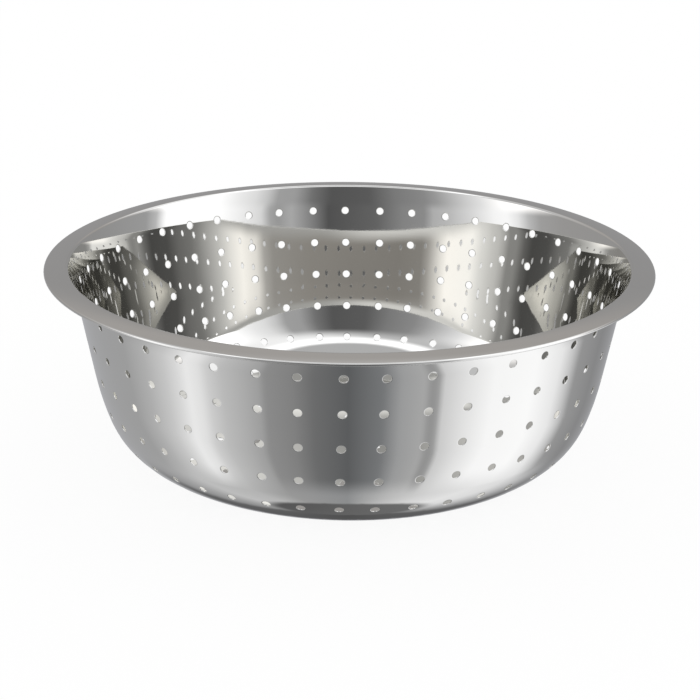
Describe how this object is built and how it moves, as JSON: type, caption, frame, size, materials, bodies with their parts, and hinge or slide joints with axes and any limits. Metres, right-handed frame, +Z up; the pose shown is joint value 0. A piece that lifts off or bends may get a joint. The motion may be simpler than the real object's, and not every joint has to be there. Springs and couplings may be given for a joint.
{
  "type": "colander",
  "caption": "Round pressed stainless steel colander with rows of drain holes, a wide sloping rim flange, a rolled edge and a flat base.",
  "frame": {"origin": "centre of the underside of the flat base, on the bowl's axis", "axes": "+Z up along the bowl's axis, out of the open mouth; -Y towards the viewer of the picture and +X to that viewer's right"},
  "size_m": [0.38, 0.38, 0.1253],
  "materials": {
    "polished_stainless_steel": "polished",
    "steel_wire": "satin"
  },
  "bodies": {
    "root": {"perforated_bowl": "polished_stainless_steel", "rim_wire": "steel_wire"}
  },
  "joints": []
}
